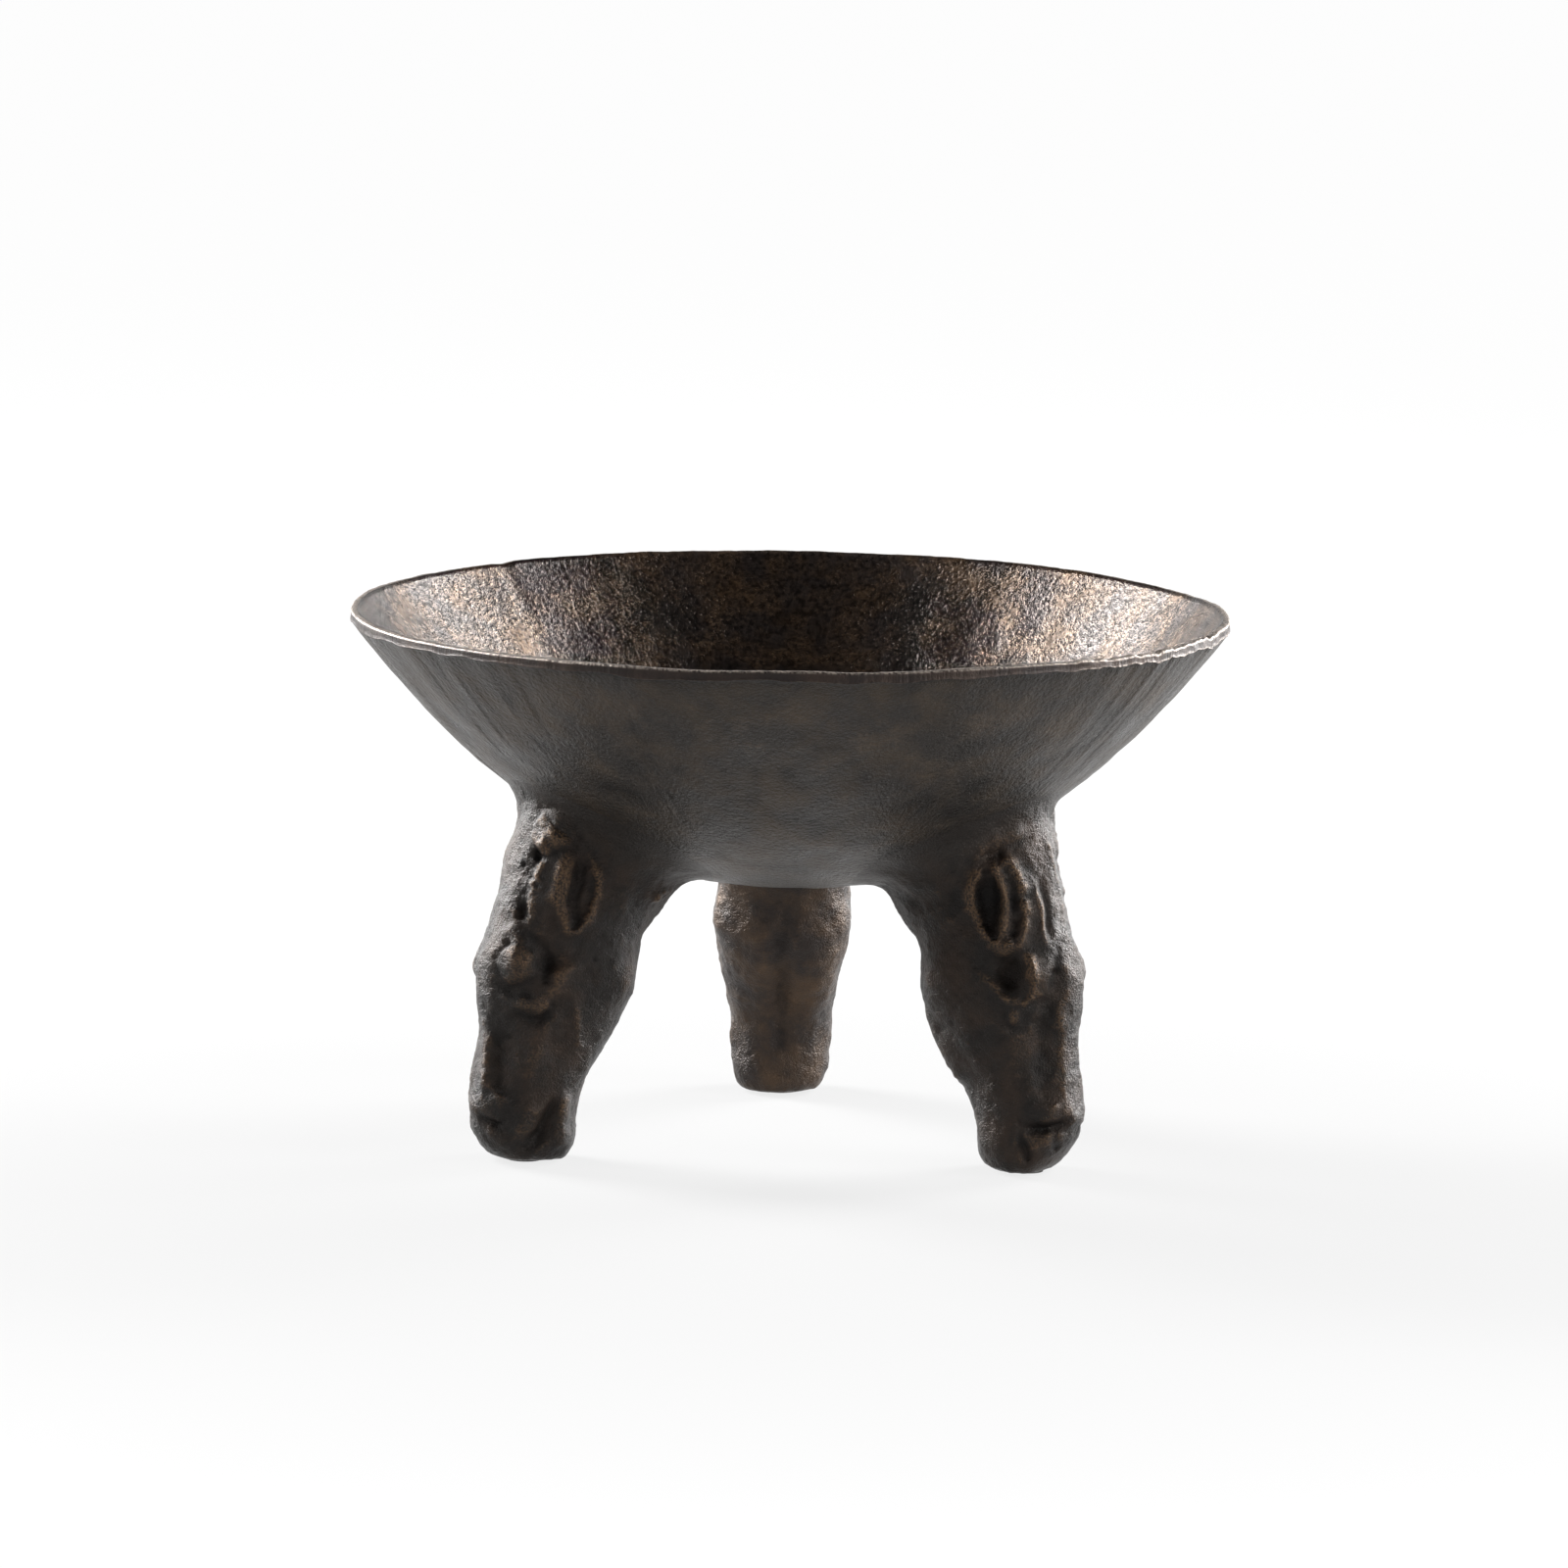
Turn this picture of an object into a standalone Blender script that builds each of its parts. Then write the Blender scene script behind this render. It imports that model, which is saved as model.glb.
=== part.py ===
"""A cast bronze bowl that stands on three horse-head legs.

The bowl is one open casting. Each leg is a separate hollow casting, a horse's head with its muzzle down,
whose neck is coped to the bowl's underside and joined to it by a run of weld round the neck. A thin pad is
let into each muzzle. Metres, +Z up, origin on the floor below the bowl's centre.
"""

import math

import bmesh
import bpy
from mathutils import Vector

# The bowl. The height of its outside above its lowest point goes with a power of the radius.
RIM_RADIUS = 0.203
RIM_HEIGHT = 0.250
UNDERSIDE_HEIGHT = 0.121
BOWL_POWER = 2.2
WALL = 0.0042
RIM_BAND = 0.0047  # the upright face left where the rim was trimmed
BOWL_STEPS = 72
PROFILE_STEPS = 12

# Where each leg stands: its azimuth in degrees, and its foot's distance from the axis.
LEGS = {"back": (90, 0.134), "front_left": (210, 0.135), "front_right": (330, 0.133)}
ROOT_GAP = 0.0003  # what the welder leaves between a neck and the bowl
RING_POINTS = 16
CORE_WALL = 0.0060  # metal between a head's outside and its cored hollow

# One row for each section of the head, from the lips up to the neck, in millimetres and degrees:
# where its centre lies (outward from the foot, and up), how far the section leans with the neck,
# then its reach to the face, to the jaw and to either cheek.
HEAD_SECTIONS = (
    (-1, 1, 0, 13, 15, 13),
    (-1, 3, 0, 18, 19, 18),
    (0, 10, 0, 23, 23, 21),
    (1, 24, 0, 25, 25, 23),
    (-2, 38, 0, 26, 26, 24),
    (-7, 51, 0, 29, 29, 26),
    (-12, 65, 0, 33, 33, 29),
    (-15, 79, 0, 37, 37, 31),
    (-16, 93, 0, 38, 38, 31),
    (-20, 107, 6, 37, 37, 31),
    (-26, 121, 13, 38, 40, 31),
    (-34, 138, 21, 42, 42, 34),
    (-45, 155, 30, 51, 48, 38),
    (-54, 171, 30, 56, 52, 40),
)
NOSE_TAPER = 0.14  # how much narrower a section is at the face than at the jaw

# Clay added to or taken off the head: where (outward from the foot, to the side, up), its spread and height,
# in millimetres. Each lies on both sides of the face.
HEAD_DABS = (
    ((15, 22, 100), 11, 5.0),  # the brow over the eye
    ((-9, 29, 132), 10, 3.0),  # the ear
    ((-36, 27, 88), 14, 1.5),  # the round of the jaw
    ((14, 17, 26), 6, -1.5),  # the nostril
)

# The weld round each neck, and the pads.
WELD_RADIUS = 0.0058
WELD_POINTS = 40
WELD_SIDES_RESOLUTION = 2
PAD_RADIUS = 0.008
PAD_THICKNESS = 0.0019
PAD_POCKET_DEPTH = 0.0012
MUZZLE_HEIGHT = 0.001  # how far a pad holds its muzzle off the floor
PAD_OFFSET = -0.001  # the pads' centres, outward from the feet

BRONZE = (0.020, 0.016, 0.013)
WELD_BRONZE = (0.024, 0.018, 0.014)
PAD_BLACK = (0.012, 0.012, 0.012)


def clear_scene():
    for thing in list(bpy.data.objects):
        bpy.data.objects.remove(thing)


def new_collection(name):
    collection = bpy.data.collections.new(name)
    bpy.context.scene.collection.children.link(collection)
    return collection


def new_material(name, colour, roughness, metallic):
    material = bpy.data.materials.new(name)
    material.use_nodes = True
    shader = material.node_tree.nodes["Principled BSDF"]
    shader.inputs["Base Color"].default_value = (*colour, 1)
    shader.inputs["Roughness"].default_value = roughness
    shader.inputs["Metallic"].default_value = metallic
    return material


def add_object(name, mesh, collection, material=None):
    thing = bpy.data.objects.new(name, mesh)
    collection.objects.link(thing)
    if material:
        mesh.materials.append(material)
    return thing


def as_cutter(thing):
    thing.hide_render = True
    thing.display_type = "WIRE"
    return thing


def cut(thing, cutter):
    modifier = thing.modifiers.new(f"cut by {cutter.name}", "BOOLEAN")
    modifier.operation = "DIFFERENCE"
    modifier.solver = "EXACT"
    modifier.object = cutter


def shade_round(mesh, sharp_degrees=40):
    mesh.shade_smooth()
    mesh.set_sharp_from_angle(angle=math.radians(sharp_degrees))


# The bowl


def bowl_curve(radius, offset=0.0):
    """(radius, height) on the bowl's outside at this radius, moved by offset into the bowl along the normal."""
    depth = RIM_HEIGHT - RIM_BAND - UNDERSIDE_HEIGHT
    share = radius / RIM_RADIUS
    slope = BOWL_POWER * depth / RIM_RADIUS * share ** (BOWL_POWER - 1)
    length = math.hypot(1, slope)
    height = UNDERSIDE_HEIGHT + depth * share**BOWL_POWER
    return radius - offset * slope / length, height + offset / length


def bowl_height(radius):
    return bowl_curve(radius)[1]


def turned(name, profile, collection, material=None):
    """A solid turned about the Z axis from (radius, height) points that run down its outer side."""
    mesh = bpy.data.meshes.new(name)
    points = [(radius, 0, height) for radius, height in profile]
    mesh.from_pydata(points, [(i, i + 1) for i in range(len(points) - 1)], [])
    thing = add_object(name, mesh, collection, material)
    screw = thing.modifiers.new("turn", "SCREW")
    screw.steps = BOWL_STEPS
    screw.render_steps = BOWL_STEPS
    screw.use_merge_vertices = True
    screw.merge_threshold = 0.00001
    screw.use_smooth_shade = True
    return thing


def bowl_profile():
    """From the middle of the inside up to the rim, over its thin top and trimmed band, and down the outside."""
    radii = [RIM_RADIUS * i / PROFILE_STEPS for i in range(PROFILE_STEPS + 1)]
    inside = [bowl_curve(radius, WALL) for radius in radii]
    inside[0] = (0, UNDERSIDE_HEIGHT + WALL)
    outside = [bowl_curve(radius) for radius in reversed(radii)]
    # The inside runs on at its last slope until it reaches the rim's height.
    (r0, z0), (r1, z1) = inside[-2:]
    inner_edge = r1 + (RIM_HEIGHT - z1) * (r1 - r0) / (z1 - z0)
    return [*inside, (inner_edge, RIM_HEIGHT), (RIM_RADIUS - 0.0005, RIM_HEIGHT - 0.0002), *outside]


def make_bowl(collection, material):
    return turned("bowl", bowl_profile(), collection, material)


def make_bowl_clearance(collection):
    """The space that the bowl fills, and its inside, grown by the root gap: it copes necks and welds."""
    radii = [RIM_RADIUS * i / PROFILE_STEPS for i in range(PROFILE_STEPS, -1, -1)]
    outside = [bowl_curve(radius, -ROOT_GAP) for radius in radii]
    outside[-1] = (0, UNDERSIDE_HEIGHT - ROOT_GAP)
    top = RIM_HEIGHT + 0.010
    return as_cutter(turned("bowl_clearance", [(0, top), (outside[0][0], top), *outside], collection))


# The legs


def section_point(section, angle, grow):
    """A point of one section at this angle from the face, with the section grown all round by grow."""
    out, up, lean, face, jaw, cheek = section
    reach = (face if math.cos(angle) > 0 else jaw) / 1000 + grow
    side = (cheek / 1000 + grow) * math.sin(angle) * (1 - NOSE_TAPER * math.cos(angle))
    along = reach * math.cos(angle)
    lean = math.radians(lean)
    return Vector((out / 1000 + along * math.cos(lean), side, up / 1000 + along * math.sin(lean)))


def dabbed(point, outward):
    """The point moved outward by every dab of clay that reaches it, each a bell curve of the distance."""
    for (x, y, z), spread, height in HEAD_DABS:
        for side in (-y, y):
            distance = (point - Vector((x, side, z)) / 1000).length * 1000
            point = point + outward * (height / 1000 * math.exp(-((distance / spread) ** 2)))
    return point


def ring(section, grow, count, with_dabs=True):
    out, up = section[0] / 1000, section[1] / 1000
    points = []
    for i in range(count):
        point = section_point(section, math.tau * i / count, grow)
        outward = (point - Vector((out, 0, up))).normalized()
        points.append(dabbed(point, outward) if with_dabs else point)
    return points


def loft(name, rings, collection, material=None, levels=1):
    """A closed cage through rings of points, from the lowest to the highest, smoothed by subdivision."""
    mesh = bpy.data.meshes.new(name)
    count = len(rings[0])
    points = [point for points in rings for point in points]
    faces = [tuple(reversed(range(count))), tuple(range(len(points) - count, len(points)))]
    for row in range(len(rings) - 1):
        for i in range(count):
            a, b = row * count + i, row * count + (i + 1) % count
            faces.append((a, b, b + count, a + count))
    mesh.from_pydata(points, [], faces)
    shade_round(mesh)
    thing = add_object(name, mesh, collection, material)
    smooth = thing.modifiers.new("smooth", "SUBSURF")
    smooth.levels = levels
    smooth.render_levels = levels
    return thing


def cage_grow(count):
    """How much larger a cage's ring has to be than the round that subdivision makes of it, as a share."""
    return 3 / (2 + math.cos(math.tau / count)) - 1


def head_rings(grow, count=RING_POINTS, with_dabs=True, sections=HEAD_SECTIONS):
    rings = []
    for section in sections:
        swell = cage_grow(count) * (section[3] + section[4]) / 2000
        rings.append(ring(section, grow + swell, count, with_dabs))
    return rings


def place_leg(thing, place):
    azimuth, foot_radius = place
    turn = math.radians(azimuth)
    thing.location = (foot_radius * math.cos(turn), foot_radius * math.sin(turn), 0)
    thing.rotation_euler = (0, 0, turn)


def make_core(name, place, cutters):
    """The hollow that the casting's core leaves, open at the neck and closed well above the lips."""
    rings = head_rings(-CORE_WALL, 12, False, HEAD_SECTIONS[3:])
    top = [point + Vector((-0.015, 0, 0.026)) for point in rings[-1]]
    core = as_cutter(loft(f"core_{name}", [*rings, top], cutters))
    place_leg(core, place)
    return core


def make_pad_cutter(name, place, cutters):
    pocket_radius = PAD_RADIUS + ROOT_GAP
    low, high = -0.005, MUZZLE_HEIGHT + PAD_POCKET_DEPTH
    return as_cutter(disc(f"pocket_{name}", place, pocket_radius, low, high, cutters))


def disc(name, place, radius, low, high, collection, material=None):
    """A round plate on a foot's pad centre, from one height to another."""
    mesh = bpy.data.meshes.new(name)
    shape = bmesh.new()
    bmesh.ops.create_cone(
        shape, cap_ends=True, segments=32, radius1=radius, radius2=radius, depth=high - low
    )
    bmesh.ops.translate(shape, verts=shape.verts, vec=(PAD_OFFSET, 0, (low + high) / 2))
    shape.to_mesh(mesh)
    shape.free()
    shade_round(mesh)
    thing = add_object(name, mesh, collection, material)
    place_leg(thing, place)
    return thing


def make_leg(name, place, clearance, collection, cutters, material):
    leg = loft(f"leg_{name}", head_rings(0.0), collection, material)
    place_leg(leg, place)
    for cutter in (
        make_core(name, place, cutters),
        clearance,
        make_pad_cutter(name, place, cutters),
    ):
        cut(leg, cutter)
    return leg


# The welds


def neck_joint(foot_radius):
    """The closed line where a neck's outside meets the bowl's outside, in the leg's own frame."""
    rows = [ring(section, 0.0, WELD_POINTS, False) for section in HEAD_SECTIONS[-4:]]
    line = []
    for i in range(WELD_POINTS):
        path = [row[i] for row in rows]
        heights = [p.z - bowl_height(math.hypot(p.x + foot_radius, p.y)) for p in path]
        for (a, below), (b, above) in zip(zip(path, heights), zip(path[1:], heights[1:])):
            if below <= 0 < above:
                line.append(a.lerp(b, below / (below - above)))
                break
    return line


def make_weld(name, place, clearance, collection, cutters, material):
    """A bead in the corner between a neck and the bowl, cut back from both by the root gap."""
    curve = bpy.data.curves.new(f"weld_path_{name}", "CURVE")
    curve.dimensions = "3D"
    curve.bevel_depth = WELD_RADIUS
    curve.bevel_resolution = WELD_SIDES_RESOLUTION
    spline = curve.splines.new("POLY")
    line = neck_joint(place[1])
    spline.points.add(len(line) - 1)
    for control, point in zip(spline.points, line):
        control.co = (*point, 1)
    spline.use_cyclic_u = True
    path = bpy.data.objects.new(f"weld_path_{name}", curve)
    collection.objects.link(path)
    place_leg(path, place)
    bpy.context.view_layer.update()

    graph = bpy.context.evaluated_depsgraph_get()
    mesh = bpy.data.meshes.new_from_object(path.evaluated_get(graph))
    weld = add_object(f"weld_{name}", mesh, collection, material)
    weld.matrix_world = path.matrix_world
    bpy.data.objects.remove(path)

    neck = as_cutter(loft(f"neck_{name}", head_rings(ROOT_GAP), cutters))
    place_leg(neck, place)
    cut(weld, neck)
    cut(weld, clearance)
    return weld


def make_pad(name, place, collection, material):
    return disc(f"foot_pad_{name}", place, PAD_RADIUS, 0.0, PAD_THICKNESS, collection, material)


def main():
    clear_scene()
    parts = new_collection("three_legged_bowl")
    cutters = new_collection("cutters")
    bronze = new_material("cast_bronze", BRONZE, 0.45, 0.85)
    weld_bronze = new_material("chased_weld", WELD_BRONZE, 0.45, 0.85)
    rubber = new_material("pad_rubber", PAD_BLACK, 0.8, 0.0)

    make_bowl(parts, bronze)
    clearance = make_bowl_clearance(cutters)
    for name, place in LEGS.items():
        make_leg(name, place, clearance, parts, cutters, bronze)
        make_weld(name, place, clearance, parts, cutters, weld_bronze)
        make_pad(name, place, parts, rubber)


main()
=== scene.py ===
"""A cast bronze bowl on three horse-head legs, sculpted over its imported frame."""

import math

import bpy
import numpy as np
from mathutils import Matrix, Vector


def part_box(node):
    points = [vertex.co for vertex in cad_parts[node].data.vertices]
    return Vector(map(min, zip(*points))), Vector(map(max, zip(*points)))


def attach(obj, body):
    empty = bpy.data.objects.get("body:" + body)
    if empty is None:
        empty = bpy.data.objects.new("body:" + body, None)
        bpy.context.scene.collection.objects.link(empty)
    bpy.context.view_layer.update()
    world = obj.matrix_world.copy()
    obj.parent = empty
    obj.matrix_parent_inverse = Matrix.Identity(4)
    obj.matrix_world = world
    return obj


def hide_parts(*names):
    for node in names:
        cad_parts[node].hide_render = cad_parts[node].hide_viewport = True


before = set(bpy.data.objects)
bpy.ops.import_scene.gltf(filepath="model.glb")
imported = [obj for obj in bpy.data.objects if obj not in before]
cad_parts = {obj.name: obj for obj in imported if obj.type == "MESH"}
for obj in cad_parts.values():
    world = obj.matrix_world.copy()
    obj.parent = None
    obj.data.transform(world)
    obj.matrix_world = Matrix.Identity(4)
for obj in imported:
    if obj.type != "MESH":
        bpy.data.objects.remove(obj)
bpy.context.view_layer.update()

MM = 0.001

# ---------------------------------------------------------------- noise and lines


def lattice(cell, seed):
    """A fixed pseudo-random number from -1 to 1 for each cell: its whole-number corner, hashed
    with the seed."""
    n = cell[..., 0] * 73856093 ^ cell[..., 1] * 19349663 ^ cell[..., 2] * 83492791 ^ seed * 2654435761
    n = (n ^ (n >> 15)) * 2246822519 & 0xFFFFFFFF
    n = (n ^ (n >> 13)) * 3266489917 & 0xFFFFFFFF
    return (n ^ (n >> 16)) / 0x7FFFFFFF - 1


def noise(points, size, seed=0):
    """Smooth noise from -1 to 1 with lumps of about size: lattice values, blended smoothly."""
    spot = points / size
    cell = np.floor(spot).astype(np.int64)
    part = spot - cell
    part = part * part * (3 - 2 * part)
    total = 0
    for corner in np.ndindex(2, 2, 2):
        step = np.array(corner)
        weight = np.prod(np.where(step, part, 1 - part), axis=-1)
        total = total + weight * lattice(cell + step, seed)
    return total


def noises(points, sizes_and_heights, seed=0):
    """A sum of noise layers, each with its own lump size and height, in metres."""
    return sum(height * noise(points, size, seed + i) for i, (size, height) in enumerate(sizes_and_heights))


def curve_through(rows, steps):
    """A smooth curve through the rows (Catmull-Rom, whole array at once), steps pieces between each two."""
    rows = np.array(rows, float)
    ends = np.vstack([2 * rows[0] - rows[1], rows, 2 * rows[-1] - rows[-2]])
    at = np.linspace(0, len(rows) - 1, steps * (len(rows) - 1) + 1)
    i = np.minimum(at.astype(int), len(rows) - 2)
    t = (at - i)[:, None]
    a, b, c, d = ends[i], ends[i + 1], ends[i + 2], ends[i + 3]
    return 0.5 * (2 * b + (c - a) * t + (2 * a - 5 * b + 4 * c - d) * t**2 + (3 * b - a - 3 * c + d) * t**3)


# How a stroke falls off with q, the distance from its line as a share of its reach. There is also
# "crumbly", a soft stroke that noise breaks up.
FALL_OFF = {
    "soft": lambda q: np.exp(-2 * q**2),
    "ridge": lambda q: np.exp(-2.4 * (np.sqrt(q**2 + 0.03) - 0.173)),
    "dome": lambda q: np.sqrt(np.clip(1 - q**2, 0, 1)) * np.clip(1.6 - 1.5 * q, 0, 1) ** 0.25,
    "slab": lambda q: 1 / (1 + q**7),
}


def stroke(points, form, line):
    """How far one stroke of clay moves each point. line holds (outward, side, up, reach, height) in mm:
    each point takes reach and height from the nearest place on the smooth curve through them."""
    line = curve_through(line, 3) * MM if len(line) > 1 else np.array(line * 2, float) * MM
    nearest = np.full(len(points), np.inf)
    moved = np.zeros(len(points))
    for a, b in zip(line[:-1], line[1:]):
        along = b[:3] - a[:3]
        t = np.clip((points - a[:3]) @ along / max(along @ along, 1e-12), 0, 1)[:, None]
        here = a + t * (b - a)
        q = np.linalg.norm(points - here[:, :3], axis=1) / here[:, 3]
        closer = q < nearest
        nearest = np.where(closer, q, nearest)
        moved = np.where(closer, here[:, 4], moved)
    return moved * FALL_OFF[form](nearest)


def patch_of_wear(points, line):
    """A stroke whose last number is an amount from 0 to 1."""
    return stroke(points, "soft", line) / MM


# ---------------------------------------------------------------- meshes


def unit(vectors):
    """Vectors brought to length 1."""
    return vectors / np.maximum(np.linalg.norm(vectors, axis=-1, keepdims=True), 1e-12)


def grid_normals(grid):
    """Unit normals of a grid of points whose columns close: the cross product of its two directions."""
    across = (np.roll(grid, -1, 1) - np.roll(grid, 1, 1)) / 2
    return unit(np.cross(across, np.gradient(grid, axis=0)))


def blurred(values, times):
    """Values on a grid whose columns close, averaged with their neighbours again and again."""
    for _ in range(times):
        padded = np.pad(values, ((1, 1), (0, 0)), mode="edge")
        values = (padded[:-2] + 2 * values + padded[2:]) / 4
        values = (np.roll(values, 1, 1) + 2 * values + np.roll(values, -1, 1)) / 4
    return values


def set_attribute(mesh, name, values):
    """Stores one number for each point of a mesh, for its material to read."""
    layer = mesh.attributes.new(name, "FLOAT", "POINT")
    layer.data.foreach_set("value", values.astype(np.float32).ravel())


def piece_from_grid(name, grid, node, materials, raised, row_materials=None, ring=False):
    """One closed piece from a grid whose columns close. Its first and last rows are shut with a fan to a
    point at their middle, or joined to each other if it is a ring."""
    rows, columns = grid.shape[:2]
    points = grid.reshape(-1, 3)
    index = np.arange(rows * columns).reshape(rows, columns)
    near = np.vstack([index, index[:1]]) if ring else index
    a, b = near[:-1], near[1:]
    quads = np.stack([a, np.roll(a, -1, 1), np.roll(b, -1, 1), b], -1).reshape(-1, 4)
    faces = [quads.ravel()]
    sizes = [np.full(len(quads), 4)]
    if not ring:
        points = np.vstack([points, grid[0].mean(0), grid[-1].mean(0)])
        raised = np.append(raised, [raised[0].mean(), raised[-1].mean()])
        for row, pole, step in ((index[0], rows * columns, 1), (index[-1], rows * columns + 1, -1)):
            pair = (row, np.roll(row, -1))[::-step]
            faces.append(np.stack([*pair, np.full(columns, pole)], -1).ravel())
            sizes.append(np.full(columns, 3))
    loops = np.concatenate(faces)
    sizes = np.concatenate(sizes)
    mesh = bpy.data.meshes.new(name)
    mesh.vertices.add(len(points))
    mesh.vertices.foreach_set("co", points.astype(np.float32).ravel())
    mesh.loops.add(len(loops))
    mesh.loops.foreach_set("vertex_index", loops.astype(np.int32))
    mesh.polygons.add(len(sizes))
    mesh.polygons.foreach_set("loop_start", (np.cumsum(sizes) - sizes).astype(np.int32))
    mesh.polygons.foreach_set("use_smooth", np.ones(len(sizes), bool))
    set_attribute(mesh, "raised", raised)
    for material in materials:
        mesh.materials.append(material)
    if row_materials is not None:
        ends = np.repeat([row_materials[0], row_materials[-1]], columns)
        of_faces = np.append(np.repeat(row_materials[: len(a)], columns), ends)
        mesh.polygons.foreach_set("material_index", of_faces.astype(np.int32))
    mesh.update(calc_edges=True)
    mesh.validate()
    piece = bpy.data.objects.new(name, mesh)
    bpy.context.scene.collection.objects.link(piece)
    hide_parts(node)
    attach(piece, "root")
    return piece


# ---------------------------------------------------------------- materials


def linear(hex_colour):
    """An sRGB hex colour as linear red, green, blue and alpha."""
    parts = [int(hex_colour[i : i + 2], 16) / 255 for i in (1, 3, 5)]
    return (*[p / 12.92 if p <= 0.04045 else ((p + 0.055) / 1.055) ** 2.4 for p in parts], 1)


def add(tree, kind, inputs=None, **settings):
    """Adds a node. Each input is a value, or an output of another node to link it to."""
    node = tree.nodes.new("ShaderNode" + kind)
    for name, value in settings.items():
        setattr(node, name, value)
    for name, value in (inputs or {}).items():
        if isinstance(value, bpy.types.NodeSocket):
            tree.links.new(value, node.inputs[name])
        else:
            node.inputs[name].default_value = value
    return node


# How large the patina's patches, its slow clouds and its finest grain are: about 22, 71 and 0.6 mm.
PATCH, CLOUD, FINE = 1 / 45, 1 / 14, 1 / 1800


def drawn_out(tree, place, share):
    """A place on the bowl as a place to read noise: full size round the axis, and only this share of its
    size along the slope, so that the pattern is drawn out into streaks."""
    flat = add(tree, "VectorMath", {0: place, 1: (1, 1, 0)}, operation="MULTIPLY").outputs[0]
    radius = add(tree, "VectorMath", {0: flat}, operation="LENGTH").outputs["Value"]
    direction = add(tree, "VectorMath", {0: flat}, operation="NORMALIZE").outputs[0]
    around = add(tree, "VectorMath", {0: direction, "Scale": float(RIM_RADIUS)},
                 operation="SCALE").outputs[0]
    up = add(tree, "SeparateXYZ", {0: place}).outputs["Z"]
    run = add(tree, "Math", {0: radius, 1: up}).outputs[0]
    run = add(tree, "Math", {0: run, 1: share}, operation="MULTIPLY")
    along = add(tree, "CombineXYZ", {"Z": run.outputs[0]}).outputs[0]
    return add(tree, "VectorMath", {0: around, 1: along}).outputs[0]


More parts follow.
